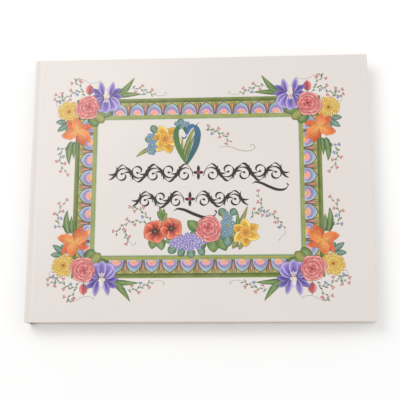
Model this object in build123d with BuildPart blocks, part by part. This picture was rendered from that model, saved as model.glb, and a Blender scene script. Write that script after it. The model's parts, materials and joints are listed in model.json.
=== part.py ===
"""A case-bound guest book in landscape format, lying closed with its front cover up.

The spine is at -X, the fore edge at +X and the head of the pages at +Y. Two boards and a flat spine
strip are covered with printed paper. The sewn sections of the text block hang in the case by folded
endpapers, and the first section's leaves are separate pieces, so that they can be turned.
"""
from build123d import *
import os

os.makedirs("parts", exist_ok=True)

# Closed book
book_width = 286.0
book_height = 227.0

# Case
board_thickness = 2.5
spine_board_thickness = 2.0
cover_paper = 0.25
pastedown_thickness = 0.25
joint_width = 5.75
groove_depth = 0.3
turn_in = 15.0
corner_radius = 0.8
edge_radius = 0.6
spine_corner_radius = 1.1
pastedown_margin = 2.5

# Text block
sheets_per_section = 4
section_count = 5
sheet_thickness = 0.22
sheet_pitch = 0.25
fold_clearance = 0.1
square = 3.5
gutter = 2.4

# Sewing and linings
hollow = 0.3
lining_thickness = 0.2
mull_thickness = 0.25
flange_thickness = 0.15
flange_width = 25.0
tape_thickness = 0.3
tape_width = 12.0
tape_spacing = 70.0
thread_diameter = 0.2
kettle_inset = 12.0
band_radius = 0.8
hinge_clearance = 0.8

# Levels in height
cover_thickness = cover_paper + board_thickness + pastedown_thickness
section_half = sheets_per_section * sheet_pitch + fold_clearance
block_thickness = 2 * section_half * section_count + 2 * sheet_pitch
book_thickness = 2 * cover_thickness + block_thickness
middle = Plane.XY.offset(book_thickness / 2)
board_inner = book_thickness - cover_paper - board_thickness
sheet_slack = (sheet_pitch - sheet_thickness) / 2

# Stations from the spine to the fore edge
spine_x = -book_width / 2
fore_x = book_width / 2
spine_inner_x = spine_x + cover_paper + spine_board_thickness
board_x = spine_inner_x + joint_width
hinge_x = (spine_x + board_x - hinge_clearance) / 2
lining_x = spine_inner_x + hollow
mull_x = lining_x + lining_thickness
loop_x = mull_x + mull_thickness
tape_x = loop_x + thread_diameter
fold_x = tape_x + tape_thickness
leaf_x = hinge_x + gutter
page_x = fore_x - square

# Half heights along the spine
half_height = book_height / 2
page_half = half_height - square
lining_half = page_half - kettle_inset / 2
mull_half = page_half - kettle_inset


def save(piece, name):
    """Labels a finished piece and writes it."""
    piece.part.label = name
    export_step(piece.part, f"parts/{name}.step")


def make_plate(name, x0, x1, half_y, z0, z1):
    """A flat rectangular piece, symmetrical about the middle of the spine's length."""
    with BuildPart() as plate:
        with BuildSketch(Plane.XY.offset(z0)):
            with Locations(((x0 + x1) / 2, 0)):
                Rectangle(x1 - x0, 2 * half_y)
        extrude(amount=z1 - z0)
    save(plate, name)


def make_blank(inset):
    """The outline of a covered board, drawn in by inset all round except at the joint."""
    with BuildPart() as blank:
        with BuildSketch(Plane.XY.offset(board_inner)):
            with Locations(((board_x + fore_x - inset) / 2, 0)):
                Rectangle(fore_x - inset - board_x, 2 * (half_height - inset))
        extrude(amount=book_thickness - inset - board_inner)
        fore_corners = blank.edges().filter_by(Axis.Z).group_by(Axis.X)[-1]
        fillet(fore_corners, radius=corner_radius - inset)
        outer_edges = blank.faces().sort_by(Axis.Z)[-1].edges().sort_by(Axis.X)[1:]
        fillet(outer_edges, radius=edge_radius - inset)
    return blank.part


def turn_in_frame():
    """The strips of cover paper folded over the board's three free edges and pressed into it."""
    with BuildPart() as frame:
        with BuildSketch(Plane.XY.offset(board_inner)):
            with Locations(((board_x + fore_x) / 2, 0)):
                Rectangle(fore_x - board_x, book_height)
            with Locations(((board_x + fore_x - turn_in) / 2, 0)):
                Rectangle(fore_x - turn_in - board_x, book_height - 2 * turn_in, mode=Mode.SUBTRACT)
        extrude(amount=cover_paper)
    return frame.part


def make_board(side):
    """A cover board, hollowed on its inner face for the turned-in paper and the mull's flange."""
    with BuildPart() as board:
        add(make_blank(cover_paper))
        add(turn_in_frame(), mode=Mode.SUBTRACT)
        with BuildSketch(Plane.XY.offset(board_inner)):
            with Locations((board_x + flange_width / 2, 0)):
                Rectangle(flange_width, 2 * mull_half)
        extrude(amount=flange_thickness, mode=Mode.SUBTRACT)
        if side == "back":
            mirror(about=middle, mode=Mode.REPLACE)
    save(board, f"{side}_board")


def make_cover_paper(side):
    """The printed paper over a board: its outer face, its three free edges and the turned-in strips."""
    with BuildPart() as paper:
        add(make_blank(0))
        add(make_blank(cover_paper), mode=Mode.SUBTRACT)
        add(turn_in_frame() & make_blank(0))
        if side == "back":
            mirror(about=middle, mode=Mode.REPLACE)
    save(paper, f"{side}_cover_paper")


def make_pastedown(side):
    """The half of the endpaper that is pasted over the board, the turned-in strips and the flange."""
    with BuildPart() as pastedown:
        with BuildSketch(Plane.XY.offset(board_inner - pastedown_thickness + sheet_slack)):
            with Locations(((board_x + fore_x - pastedown_margin) / 2, 0)):
                Rectangle(fore_x - pastedown_margin - board_x, 2 * (half_height - pastedown_margin))
        extrude(amount=pastedown_thickness - sheet_slack)
        if side == "back":
            mirror(about=middle, mode=Mode.REPLACE)
    save(pastedown, f"{side}_pastedown")


def make_mull_flange(side):
    """The free edge of the mull, glued between the board and the pastedown."""
    with BuildPart() as flange:
        with BuildSketch(Plane.XY.offset(board_inner)):
            with Locations((board_x + flange_width / 2, 0)):
                Rectangle(flange_width, 2 * mull_half)
        extrude(amount=flange_thickness)
        if side == "back":
            mirror(about=middle, mode=Mode.REPLACE)
    save(flange, f"{side}_mull_flange")


def make_joint_paper(side):
    """The strip of cover paper that dips into the groove between the spine and a board."""
    groove_x = (spine_inner_x + board_x) / 2
    valley = book_thickness - groove_depth
    with BuildPart() as strip:
        with BuildSketch(Plane.XZ):
            with BuildLine():
                outer = ThreePointArc(
                    (spine_inner_x, book_thickness), (groove_x, valley), (board_x, book_thickness)
                )
                inner = ThreePointArc(
                    (spine_inner_x, book_thickness - cover_paper),
                    (groove_x, valley - cover_paper),
                    (board_x, book_thickness - cover_paper),
                )
                Line(outer @ 0, inner @ 0)
                Line(outer @ 1, inner @ 1)
            make_face()
        extrude(amount=half_height, both=True)
        if side == "back":
            mirror(about=middle, mode=Mode.REPLACE)
    save(strip, f"{side}_joint_paper")


def make_endpaper_hinge(side):
    """The fold of the endpaper, from the pastedown's edge round to the edge of the flyleaf."""
    fold_z = book_thickness - cover_thickness
    outer_radius = sheet_pitch - sheet_slack
    arc_x = fold_x + outer_radius
    with BuildPart() as hinge:
        with BuildSketch(Plane.XZ):
            with Locations((arc_x, fold_z)):
                Circle(outer_radius)
            with Locations(((arc_x + board_x) / 2, fold_z + outer_radius / 2)):
                Rectangle(board_x - arc_x, outer_radius)
            with Locations(((arc_x + leaf_x) / 2, fold_z - outer_radius / 2)):
                Rectangle(leaf_x - arc_x, outer_radius)
            with Locations((arc_x, fold_z)):
                Circle(sheet_slack, mode=Mode.SUBTRACT)
            with Locations(((arc_x + board_x) / 2, fold_z)):
                Rectangle(board_x - arc_x, 2 * sheet_slack, mode=Mode.SUBTRACT)
        extrude(amount=page_half, both=True)
        if side == "back":
            mirror(about=middle, mode=Mode.REPLACE)
    save(hinge, f"{side}_endpaper_hinge")


def make_section(number, front_leaves_turn):
    """One section: nested folded sheets, without their front halves where those leaves turn."""
    centre_z = book_thickness - cover_thickness - sheet_pitch - section_half * (2 * number - 1)
    arc_x = fold_x + section_half
    with BuildPart() as section:
        for sheet in range(sheets_per_section):
            outer = section_half - sheet * sheet_pitch
            inner = outer - sheet_thickness
            with BuildSketch(Plane.XZ):
                with Locations((arc_x, centre_z)):
                    Circle(outer)
                with Locations(((arc_x + page_x) / 2, centre_z)):
                    Rectangle(page_x - arc_x, 2 * outer)
                with Locations((arc_x, centre_z)):
                    Circle(inner, mode=Mode.SUBTRACT)
                with Locations(((arc_x + page_x) / 2, centre_z)):
                    Rectangle(page_x - arc_x, 2 * inner, mode=Mode.SUBTRACT)
                if front_leaves_turn:
                    with Locations(((leaf_x + page_x) / 2, centre_z + section_half / 2)):
                        Rectangle(page_x - leaf_x, section_half, mode=Mode.SUBTRACT)
            extrude(amount=page_half, both=True)
    save(section, f"section_{number}")


# Spine strip of the case
with BuildPart() as spine_board:
    with BuildSketch(Plane.XZ):
        with Locations((spine_x + cover_paper + spine_board_thickness / 2, book_thickness / 2)):
            strip = Rectangle(spine_board_thickness, book_thickness - 2 * cover_paper)
        fillet(strip.vertices().group_by(Axis.X)[0], radius=spine_corner_radius - cover_paper)
    extrude(amount=half_height - cover_paper, both=True)
save(spine_board, "spine_board")

with BuildPart() as spine_paper:
    with BuildSketch(Plane.XZ):
        with Locations(((spine_x + spine_inner_x) / 2, book_thickness / 2)):
            face = Rectangle(spine_inner_x - spine_x, book_thickness)
        fillet(face.vertices().group_by(Axis.X)[0], radius=spine_corner_radius)
    extrude(amount=half_height, both=True)
    fillet(spine_paper.faces().sort_by(Axis.X)[0].edges().group_by(Axis.Y)[0], radius=edge_radius)
    fillet(spine_paper.faces().sort_by(Axis.X)[0].edges().group_by(Axis.Y)[-1], radius=edge_radius)
    add(spine_board.part, mode=Mode.SUBTRACT)
    with BuildSketch(Plane.YZ.offset(spine_inner_x)):
        for end in (-1, 1):
            with Locations((end * (half_height - turn_in / 2), book_thickness / 2)):
                Rectangle(turn_in, book_thickness - 2 * cover_thickness)
    extrude(amount=cover_paper)
save(spine_paper, "spine_paper")

# Covers, their linings and the flexible joints
for side in ("front", "back"):
    make_board(side)
    make_cover_paper(side)
    make_pastedown(side)
    make_mull_flange(side)
    make_joint_paper(side)
    make_endpaper_hinge(side)

# Spine of the text block, from the outside in
with BuildPart() as spine_lining:
    with BuildSketch(Plane.YZ.offset(lining_x)):
        with Locations((0, book_thickness / 2)):
            Rectangle(2 * lining_half, block_thickness)
    extrude(amount=lining_thickness)
save(spine_lining, "spine_lining")

with BuildPart() as mull:
    with BuildSketch(Plane.YZ.offset(mull_x)):
        with Locations((0, book_thickness / 2)):
            Rectangle(2 * mull_half, block_thickness)
    extrude(amount=mull_thickness)
save(mull, "mull")

tape_stations = [-tape_spacing, 0, tape_spacing]
with BuildPart() as sewing_tapes:
    with BuildSketch(Plane.YZ.offset(tape_x)):
        with Locations(*[(station, book_thickness / 2) for station in tape_stations]):
            Rectangle(tape_width, block_thickness)
    extrude(amount=tape_thickness)
save(sewing_tapes, "sewing_tapes")

# Thread: long stitches inside each fold, between the tapes, and a loop over every tape
stitch_ends = [-mull_half]
for station in tape_stations:
    stitch_ends += [station - tape_width / 2, station + tape_width / 2]
stitch_ends.append(mull_half)
first_section_z = book_thickness - cover_thickness - sheet_pitch - section_half
with BuildPart() as sewing_thread:
    for section in range(section_count):
        section_z = first_section_z - 2 * section_half * section
        for run in range(0, len(stitch_ends), 2):
            with BuildSketch(Plane.XZ.offset(-stitch_ends[run])):
                with Locations((fold_x + section_half, section_z)):
                    Circle(thread_diameter / 2)
            extrude(amount=stitch_ends[run] - stitch_ends[run + 1])
        for loop in range(1, len(stitch_ends) - 1, 2):
            with BuildSketch(Plane.XZ.offset(-stitch_ends[loop])):
                with Locations((loop_x + thread_diameter / 2, section_z)):
                    Circle(thread_diameter / 2)
            extrude(amount=stitch_ends[loop] - stitch_ends[loop + 1])
save(sewing_thread, "sewing_thread")

# Woven bands at the two ends of the spine
for name, end in (("headband", 1), ("tailband", -1)):
    with BuildPart() as band:
        with BuildSketch(Plane.XY.offset(cover_thickness)):
            with Locations((fold_x + band_radius, end * (page_half + band_radius))):
                Circle(band_radius)
        extrude(amount=block_thickness)
    save(band, name)

# Sections of the text block
for number in range(1, section_count + 1):
    make_section(number, front_leaves_turn=number == 1)

# Leaves that turn: the flyleaves, and the front halves of the first section's sheets
flyleaf_top = book_thickness - cover_thickness - sheet_slack
make_plate("front_flyleaf", leaf_x, page_x, page_half, flyleaf_top - sheet_thickness, flyleaf_top)
make_plate(
    "back_flyleaf",
    leaf_x,
    page_x,
    page_half,
    cover_thickness + sheet_slack,
    cover_thickness + sheet_slack + sheet_thickness,
)
for leaf in range(sheets_per_section):
    leaf_top = book_thickness - cover_thickness - sheet_pitch * (leaf + 1)
    make_plate(f"leaf_{leaf + 1}", leaf_x, page_x, page_half, leaf_top - sheet_thickness, leaf_top)
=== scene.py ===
import json
import math
import random

import bmesh
import bpy
from mathutils import Matrix, Vector


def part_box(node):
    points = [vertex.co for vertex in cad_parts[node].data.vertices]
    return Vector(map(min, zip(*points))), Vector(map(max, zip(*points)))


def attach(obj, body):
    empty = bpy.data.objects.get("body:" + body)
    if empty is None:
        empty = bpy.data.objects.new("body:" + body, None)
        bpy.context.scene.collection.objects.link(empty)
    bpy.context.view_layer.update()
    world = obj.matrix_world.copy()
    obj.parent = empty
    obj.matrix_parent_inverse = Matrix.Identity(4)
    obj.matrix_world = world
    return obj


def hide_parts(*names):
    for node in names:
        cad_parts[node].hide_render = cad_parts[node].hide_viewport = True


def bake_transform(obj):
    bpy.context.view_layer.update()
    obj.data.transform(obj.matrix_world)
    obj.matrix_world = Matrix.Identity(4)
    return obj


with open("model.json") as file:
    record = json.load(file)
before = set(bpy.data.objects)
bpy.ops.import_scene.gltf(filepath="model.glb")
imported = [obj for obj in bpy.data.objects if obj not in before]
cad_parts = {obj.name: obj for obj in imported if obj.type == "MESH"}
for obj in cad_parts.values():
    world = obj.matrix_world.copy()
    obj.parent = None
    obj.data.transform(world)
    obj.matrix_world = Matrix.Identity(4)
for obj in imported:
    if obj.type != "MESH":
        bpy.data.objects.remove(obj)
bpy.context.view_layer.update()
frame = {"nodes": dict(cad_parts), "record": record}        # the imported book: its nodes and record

MM = 0.001

# The closed book, as the frame gives it
NODES = frame["nodes"]
BLOCK = "book_block"
FRONT = "front_cover"
paper_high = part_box("front_cover_paper")[1]
leaf_low, leaf_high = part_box("leaf_1")
section_low, section_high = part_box("section_1")
BOOK_TOP = paper_high.z
HALF_HEIGHT = paper_high.y
PAGE_X = leaf_high.x
PAGE_HALF = leaf_high.y
LEAF_X = leaf_low.x
FOLD_X = section_low.x
SHEET = leaf_high.z - leaf_low.z
PITCH = leaf_high.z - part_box("leaf_2")[1].z
COVER_PAPER = 0.25 * MM
LOOSE_LEAVES = 4


# ---------------------------------------------------------------- colour

def tone(code):
    """A printer's colour such as "e46f70" as linear red, green and blue."""
    parts = [int(code[i:i + 2], 16) / 255 for i in (0, 2, 4)]
    return Vector([p / 12.92 if p <= 0.04045 else ((p + 0.055) / 1.055) ** 2.4 for p in parts])


def tones(codes):
    """Several colours from one line of codes. A petal's are its base, tip, rim and vein."""
    return tuple(tone(code) for code in codes.split())


CORAL = tones("9c2a42 e26468 f7b4aa b43a52")
CORAL_DEEP = tones("841e38 d04552 ee8c84 962844")
ORANGE = tones("f2a248 e4642a f69250 fbc87e")
ORANGE_DEEP = tones("c25618 d64e20 ee7c40 f29a4c")
PURPLE = tones("55409a 8f78cc cdbeec 43307f")
PURPLE_DEEP = tones("3b2d7e 6a54b0 a492d8 322668")
THROAT = tones("fdf6d8 f0e6f4 cdbfe8 e9c95a")
YELLOW = tones("a05c16 e8a626 f9d666 b27018")
YELLOW_PALE = tones("c07a1c f1bf34 fdec94 cc8a1c")
TRUMPET = tones("b8661a f0a52e f9cf5a c47820")
SCARLET = tones("741820 dc583a f59a76 a02c26")
GREEN = tones("2f5a38 7f9c50 45703c b2c27c")
GREEN_BLUE = tones("3d665a 7d9e86 4a7264 abc5a6")
OLIVE = tones("6a7434 a5a455 78803a c9c47e")
TWIG = tones("5f6c56 707d62 56654f 707d62")
VIOLET = tones("3c2e84 8474c8 c8bcec 352878")
SKY = tones("24466e 507ca6 90b4c6 244464")
PINK = tones("c77f83 dba3a0")
BLUE = tones("6f86ad 9fb1cd")
BLACK_INK = tones("221d1c 2b2624 201b1a 2b2624")
SEEDS = tones("1f1a20 3a2a2c")
POLLEN = tones("7a4c16 dd9a2a c58420 7a4c16")


# ---------------------------------------------------------------- outlines of painted shapes

def outline(rise, fall):
    """How wide a petal is along its length: a small rise gives a full root, a small fall a blunt tip."""
    peak = rise / (rise + fall)
    return lambda t: (t / peak) ** rise * ((1 - t) / (1 - peak)) ** fall


POINTED = outline(0.85, 0.85)
BLADE = outline(0.45, 0.95)
OVAL = outline(0.5, 0.5)
SPOON = outline(1.05, 0.42)
BROAD = outline(0.8, 0.3)
LOBE = outline(0.75, 0.62)
TIPPED = outline(0.7, 0.9)


def dome(t):
    """A pointed arch: upright sides that turn in to a small tip."""
    return (1 - t ** 3) ** 0.8


def lerp(a, b, share):
    """Share of the way from colour a to colour b."""
    return a + (b - a) * max(0.0, min(1.0, share))


def toward(heading, reach=1.0):
    """The point at this distance in the direction heading, in degrees."""
    return Vector((math.cos(math.radians(heading)), math.sin(math.radians(heading)))) * reach


def curve_at(points, t):
    """The point at t, from 0 to 1, on a smooth curve through the points."""
    spans = len(points) - 1
    span = min(int(t * spans), spans - 1)
    u = t * spans - span
    p1, p2 = points[span], points[span + 1]
    p0 = points[span - 1] if span else p1 * 2 - p2
    p3 = points[span + 2] if span + 2 <= spans else p2 * 2 - p1
    return (p1 * 2 + (p2 - p0) * u + (p0 * 2 - p1 * 5 + p2 * 4 - p3) * u * u
            + (p1 * 3 - p0 - p2 * 3 + p3) * u ** 3) / 2


def heading_at(points, t):
    """The direction of the curve through the points at t, as a unit vector."""
    return (curve_at(points, min(1.0, t + 0.01)) - curve_at(points, max(0.0, t - 0.01))).normalized()


# ---------------------------------------------------------------- the print

LAYER = 0.002            # each shape lies this far above the one before, in millimetres
OUTLINE_SHADE = 0.6      # an outline, against the base of its petal
INK_STRENGTH = 0.86      # how much light the inks give back, against their colour samples
RIM_SHARE = 0.95         # how fully the rim colour shows at a petal's edge
VEIN_SHARE = 0.75        # how fully the vein colour shows at its root
SIDE_SHADE = 0.16        # how much darker one side of a petal is, and how much lighter the other
ART_CENTRE = Vector((-1.4, -0.3))


class Ink:
    """One kind of printed motif. Shapes are in millimetres about the origin set by start()."""

    def __init__(self, lift):
        self.mesh = bmesh.new()
        self.tint = self.mesh.verts.layers.float_color.new("paint")
        self.lift = lift
        self.start(0, 0, 0)

    def start(self, x, y, level, side_x=1, side_y=1, turn=0, size=1):
        """Where the next motif goes, which way it is mirrored and turned, and its lowest level."""
        self.origin = Vector((x, y))
        self.side_x, self.side_y = side_x, side_y
        self.turn = Matrix.Rotation(math.radians(turn), 2)
        self.size = size
        self.height = level

    def put(self, vert, point, colour):
        """Moves a vertex to its place in the motif and paints it."""
        x, y = self.turn @ point * self.size
        vert.co = (self.origin.x + self.side_x * x, self.origin.y + self.side_y * y, self.height + self.lift)
        vert[self.tint] = (*(colour * INK_STRENGTH), 1)

    def petal(self, root, heading, length, width, shape, colours,
              bend=0, frill=0, steps=14, ribs=4, line=0):
        """A shape from root along heading, tinted from base to tip, with a rim and a vein.
        line is the width of a dark outline, painted first as a larger shape below it."""
        if line:
            dark = (colours[0] * OUTLINE_SHADE,) * 4
            self.petal(root, heading, length + line, width + 2 * line, shape, dark,
                       bend, frill, steps, ribs=2)
        self.height += LAYER
        base, tip, rim, vein = colours
        grid = bmesh.ops.create_grid(self.mesh, x_segments=steps, y_segments=ribs, size=0.5)["verts"]
        curl = math.radians(bend) or 0.001
        turn = Matrix.Rotation(math.radians(heading), 2)
        for vert in grid:
            along = (1 - math.cos(math.pi * (vert.co.x + 0.5))) / 2
            across = 2 * vert.co.y
            middle = Vector((math.sin(curl * along), 1 - math.cos(curl * along))) * length / curl
            half = width / 2 * shape(along) * (1 + frill * math.sin(21 * along + 3 * across))
            side = Vector((-math.sin(curl * along), math.cos(curl * along)))
            point = Vector(root) + turn @ (middle + side * across * half)
            colour = lerp(base, tip, 1.5 * along - 0.1)
            edge = max(abs(across) ** 3, max(0.0, along - 0.75) * 4)
            colour = lerp(colour, rim, RIM_SHARE * edge)
            colour = lerp(colour, vein, VEIN_SHARE * (1 - abs(across)) ** 3 * (1 - along))
            self.put(vert, point, colour * (1 - SIDE_SHADE * across))
        bmesh.ops.remove_doubles(self.mesh, verts=grid, dist=0.0005)

    def disc(self, x, y, radius, middle, edge, frill=0, sides=14):
        """A round spot, from a middle colour to an edge colour."""
        self.height += LAYER
        ring = bmesh.ops.create_circle(self.mesh, cap_ends=True, cap_tris=True, segments=sides, radius=1)
        for vert in ring["verts"]:
            out = vert.co.length
            wave = 1 + frill * math.sin(6 * math.atan2(vert.co.y, vert.co.x))
            point = Vector((x + radius * wave * vert.co.x, y + radius * wave * vert.co.y))
            self.put(vert, point, lerp(middle, edge, out))

    def heart(self, x, y, size, heading, colours):
        """A small heart, its point towards heading."""
        self.height += LAYER
        ring = bmesh.ops.create_circle(self.mesh, cap_ends=True, cap_tris=True, segments=16, radius=1)
        turn = Matrix.Rotation(math.radians(heading + 90), 2)
        for vert in ring["verts"]:
            a = math.atan2(vert.co.x, vert.co.y)
            lobe = Vector((16 * math.sin(a) ** 3,
                           13 * math.cos(a) - 5 * math.cos(2 * a) - 2 * math.cos(3 * a) - math.cos(4 * a)))
            point = turn @ lobe * vert.co.length * size / 32 + Vector((x, y))
            self.put(vert, point, lerp(colours[1], colours[0], vert.co.length))

    def stroke(self, points, width, colours, thin=1.0, pen=40, taper=0.4, detail=7, ribs=1):
        """A brush or pen line through points. thin is the width against the pen's edge, as a share."""
        self.height += LAYER
        path = [Vector(p) for p in points]
        steps = detail * (len(path) - 1)
        grid = bmesh.ops.create_grid(self.mesh, x_segments=steps, y_segments=ribs, size=0.5)["verts"]
        for vert in grid:
            along = min(1.0, max(0.0, vert.co.x + 0.5))
            ahead = heading_at(path, along)
            slant = abs(math.sin(math.atan2(ahead.y, ahead.x) - math.radians(pen)))
            half = width / 2 * (thin + (1 - thin) * slant)
            half *= max(0.12, math.sin(math.pi * along)) ** taper
            point = curve_at(path, along) + Vector((-ahead.y, ahead.x)) * 2 * vert.co.y * half
            self.put(vert, point, lerp(colours[0], colours[1], along))

    def strip(self, low, high, first, last, across, pieces):
        """A straight band, tinted from first to last across it, or along it."""
        self.height += LAYER
        grid = bmesh.ops.create_grid(self.mesh, x_segments=pieces[0], y_segments=pieces[1], size=0.5)["verts"]
        for vert in grid:
            share = Vector((vert.co.x + 0.5, vert.co.y + 0.5))
            point = Vector((low[0] + (high[0] - low[0]) * share.x, low[1] + (high[1] - low[1]) * share.y))
            self.put(vert, point, lerp(first, last, share[across]))

    def finish(self, name, body, material, surface=BOOK_TOP):
        """Sets the ink on a surface at this height as closed flat shapes, and fixes it to its body."""
        bmesh.ops.scale(self.mesh, vec=(MM, MM, MM), verts=self.mesh.verts)
        self.mesh.normal_update()
        turned = [face for face in self.mesh.faces if face.normal.z < 0]
        bmesh.ops.reverse_faces(self.mesh, faces=turned)
        tops = set(self.mesh.verts)
        raised = bmesh.ops.extrude_face_region(self.mesh, geom=self.mesh.faces)["geom"]
        feet = tops - {item for item in raised if isinstance(item, bmesh.types.BMVert)}
        for vert in feet:
            vert.co.z = 0
        bmesh.ops.translate(self.mesh, vec=(0, 0, surface), verts=self.mesh.verts)
        bmesh.ops.recalc_face_normals(self.mesh, faces=self.mesh.faces)
        return new_piece(name, self.mesh, body, material)


def new_piece(name, mesh, body, material):
    """An object at the origin from a finished bmesh, riding on a body."""
    data = bpy.data.meshes.new(name)
    mesh.to_mesh(data)
    mesh.free()
    piece = bpy.data.objects.new(name, data)
    bpy.context.scene.collection.objects.link(piece)
    piece.data.materials.append(material)
    if body:
        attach(piece, body)
    return piece


# ---------------------------------------------------------------- motifs

def rose(ink):
    """A full rose of radius 10: wide outer petals, then smaller rings round a coiled heart."""
    rings = ((6, 10.2, 12.5, 8, CORAL, (0, 0)), (5, 8.8, 11.5, 44, CORAL_DEEP, (-0.4, 0.3)),
             (5, 7.6, 10.0, 12, CORAL, (-0.6, 0.5)), (4, 6.0, 8.6, 52, CORAL_DEEP, (-0.9, 0.7)),
             (4, 5.0, 7.0, 6, CORAL, (-1.0, 0.9)))
    for count, reach, width, offset, colours, middle in rings:
        for k in range(count):
            heading = offset + 360 * k / count
            root = Vector(middle) + toward(heading, reach * 0.1)
            length = reach * (0.86 + 0.05 * (k % 3))
            ink.petal(root, heading + 4 * (k % 2), length, width, BROAD, colours,
                      bend=10 - 20 * (k % 2), frill=0.05, line=0.22)
    for k in range(6):
        root = Vector((-1.1, 1.0)) + toward(60 * k, 2.0 - 0.2 * k)
        colours = CORAL_DEEP if k % 2 else CORAL
        ink.petal(root, 60 * k + 118, 3.8 - 0.3 * k, 2.2, OVAL, colours, bend=95, steps=10, line=0.15)
    ink.disc(-1.1, 1.0, 0.7, CORAL_DEEP[0], CORAL_DEEP[3])


def rosebud(ink, leaves):
    """A bud 9 long, with its sepals, opening along +Y."""
    leaves.stroke([(0, -6), (0.4, -3), (0, 0)], 0.7, GREEN)
    ink.petal((0, 0), 104, 7.6, 4.6, OVAL, CORAL_DEEP, bend=-12, line=0.25)
    ink.petal((0.4, 0), 78, 7.6, 4.4, OVAL, CORAL, bend=14, line=0.25)
    ink.petal((0, 0.4), 90, 8.6, 3.2, LOBE, CORAL_DEEP, line=0.2)
    for heading, bend in ((60, 30), (118, -30), (90, 0)):
        leaves.petal((0, -0.6), heading, 4.4, 1.4, POINTED, GREEN, bend=bend, steps=6)


def iris(ink):
    """An iris about 26 high: upright standards, a wing on each side, and three broad falls."""
    for root, heading, length, width, bend, colours, shape in (
        ((-2.5, 0), 166, 12.5, 5.4, 34, PURPLE_DEEP, POINTED),
        ((2.5, 0), 14, 12.5, 5.4, -34, PURPLE_DEEP, POINTED),
        ((-2.0, -0.5), 212, 13.5, 8.0, 26, PURPLE, LOBE),
        ((2.5, -0.5), 330, 12.5, 8.6, -30, PURPLE, LOBE),
        ((-1.5, -1.0), 240, 14.0, 9.6, 16, PURPLE, BROAD),
        ((2.5, -1.0), 298, 14.0, 10.0, -14, PURPLE, BROAD),
        ((0.5, -1.0), 268, 15.5, 8.4, 4, PURPLE, LOBE),
        ((-3.2, 1.5), 138, 12.5, 4.8, 22, PURPLE_DEEP, POINTED),
        ((-2.4, 1.5), 112, 14.0, 5.0, -16, PURPLE, POINTED),
        ((4.4, 1.5), 42, 12.5, 4.8, -22, PURPLE_DEEP, POINTED),
        ((3.4, 1.5), 72, 14.5, 5.4, 14, PURPLE, POINTED),
    ):
        ink.petal(root, heading, length, width, shape, colours, bend=bend, frill=0.05, line=0.25)
    ink.petal((0.5, -1.0), 92, 10.0, 4.2, LOBE, THROAT)
    for heading in (238, 266, 296):
        ink.petal((0.5, -0.5), heading, 5.6, 1.8, OVAL, THROAT, steps=6)
        ink.petal((0.5, -0.5), heading, 4.0, 0.8, OVAL, POLLEN, steps=5, ribs=2)


def lily(ink):
    """An open lily of radius 13 with six swept-back petals and its stamens."""
    for k, (heading, length, bend) in enumerate(((20, 12.5, 26), (138, 12.0, 26), (252, 14.0, -26),
                                                 (82, 11.4, -22), (196, 13.8, 26), (318, 13.4, 24))):
        colours = ORANGE_DEEP if k < 3 else ORANGE
        ink.petal((0, 0), heading, length * 1.08, 8.4 - 2.2 * (k < 3), TIPPED, colours, bend=bend * 1.5,
                  frill=0.1, steps=16, line=0.3)
        ink.stroke([toward(heading, 1.5), toward(heading + bend * 0.25, length * 0.5),
                    toward(heading + bend * 0.5, length * 0.82)], 0.35, (ORANGE[3], ORANGE[1]), detail=4)
    flecks = random.Random(5)
    for _ in range(26):
        spot = toward(flecks.uniform(0, 360), flecks.uniform(1.5, 5.5))
        ink.disc(spot.x, spot.y, 0.2, ORANGE[2], SCARLET[3], sides=6)
    for k in range(6):
        tip = toward(12 + 58 * k, 4.6)
        ink.stroke([(0, 0), tip * 0.5 + Vector((0.3, 0.3)), tip], 0.3, (YELLOW_PALE[1], OLIVE[1]), detail=3)
        ink.petal(tip - Vector((0.5, 0.2)), 82 + 58 * k, 1.5, 0.6, OVAL, SCARLET, steps=4, ribs=2)


def chrysanthemum(ink):
    """A chrysanthemum of radius 9: rings of narrow petals, each ring shorter and paler."""
    tufts = random.Random(3)
    for count, length, colours in ((30, 9.4, YELLOW), (26, 8.0, YELLOW_PALE), (22, 6.6, YELLOW),
                                   (18, 5.0, YELLOW_PALE), (12, 3.4, YELLOW)):
        floor = ink.height
        for k in range(count):
            ink.height = floor + 2 * LAYER * (k % 3)
            heading = 360 * k / count + tufts.uniform(-4, 4)
            reach = length * tufts.uniform(0.88, 1.06)
            ink.petal(toward(heading, 0.6), heading, reach, 1.6, SPOON, colours,
                      bend=tufts.uniform(-12, 12), steps=6, ribs=2, line=0.16)
        ink.height = floor + 7 * LAYER
    ink.disc(0, 0, 1.3, YELLOW[0], YELLOW[3])


def daffodil(ink):
    """A daffodil of radius 11: six petals round a frilled trumpet."""
    for k in range(6):
        colours = YELLOW_PALE if k % 2 else YELLOW
        heading = 60 * k + 14
        ink.petal((0, 0), heading, 12.0, 8.8, TIPPED, colours,
                  bend=8 if k % 2 else -10, frill=0.05, line=0.25)
        for lean in (-9, 9):
            ink.stroke([toward(heading, 3.5), toward(heading + lean, 6.5), toward(heading + lean * 0.7, 9)],
                       0.3, (YELLOW[3], YELLOW[1]), detail=3)
    for k in range(9):
        ink.petal((0, 0), 40 * k, 5.4, 3.4, BROAD, TRUMPET, steps=10, line=0.2)
    ink.disc(0, 0, 3.1, POLLEN[0], TRUMPET[1], frill=0.08)
    for k in range(5):
        spot = toward(72 * k, 0.9)
        ink.disc(spot.x, spot.y, 0.4, YELLOW_PALE[2], YELLOW[3], sides=8)


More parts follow.
